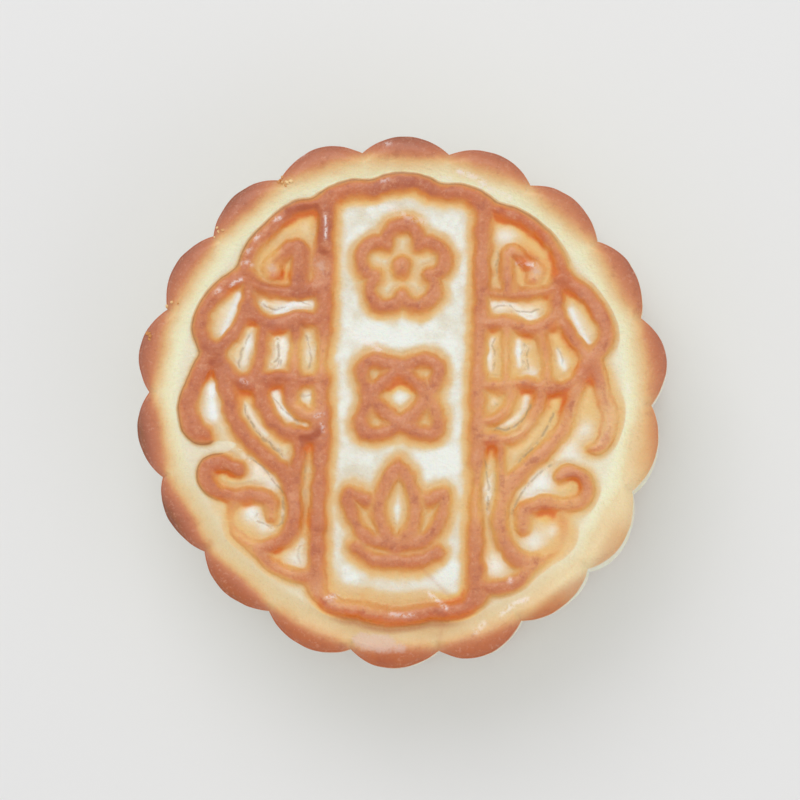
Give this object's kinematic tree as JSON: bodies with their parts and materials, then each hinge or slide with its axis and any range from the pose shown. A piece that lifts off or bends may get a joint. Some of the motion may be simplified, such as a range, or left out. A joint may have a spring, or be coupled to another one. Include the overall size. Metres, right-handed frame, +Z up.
{
  "type": "mooncake",
  "caption": "Round baked mooncake with a scalloped rim, a flat base and a raised floral and scrollwork ornament moulded on its sunken top.",
  "frame": {"origin": "middle of the flat base, on the surface that the cake stands on", "axes": "+Z up through the middle of the cake, +Y towards the top of the ornament, +X to its right"},
  "size_m": [0.0742, 0.075, 0.027],
  "materials": {
    "baked_crust": "baked milk pastry, cream in the hollows and pale on the side, golden to red-brown on the raised lines and the rim, with a thin soft glaze"
  },
  "bodies": {
    "root": {"mooncake": "baked_crust"}
  },
  "joints": []
}
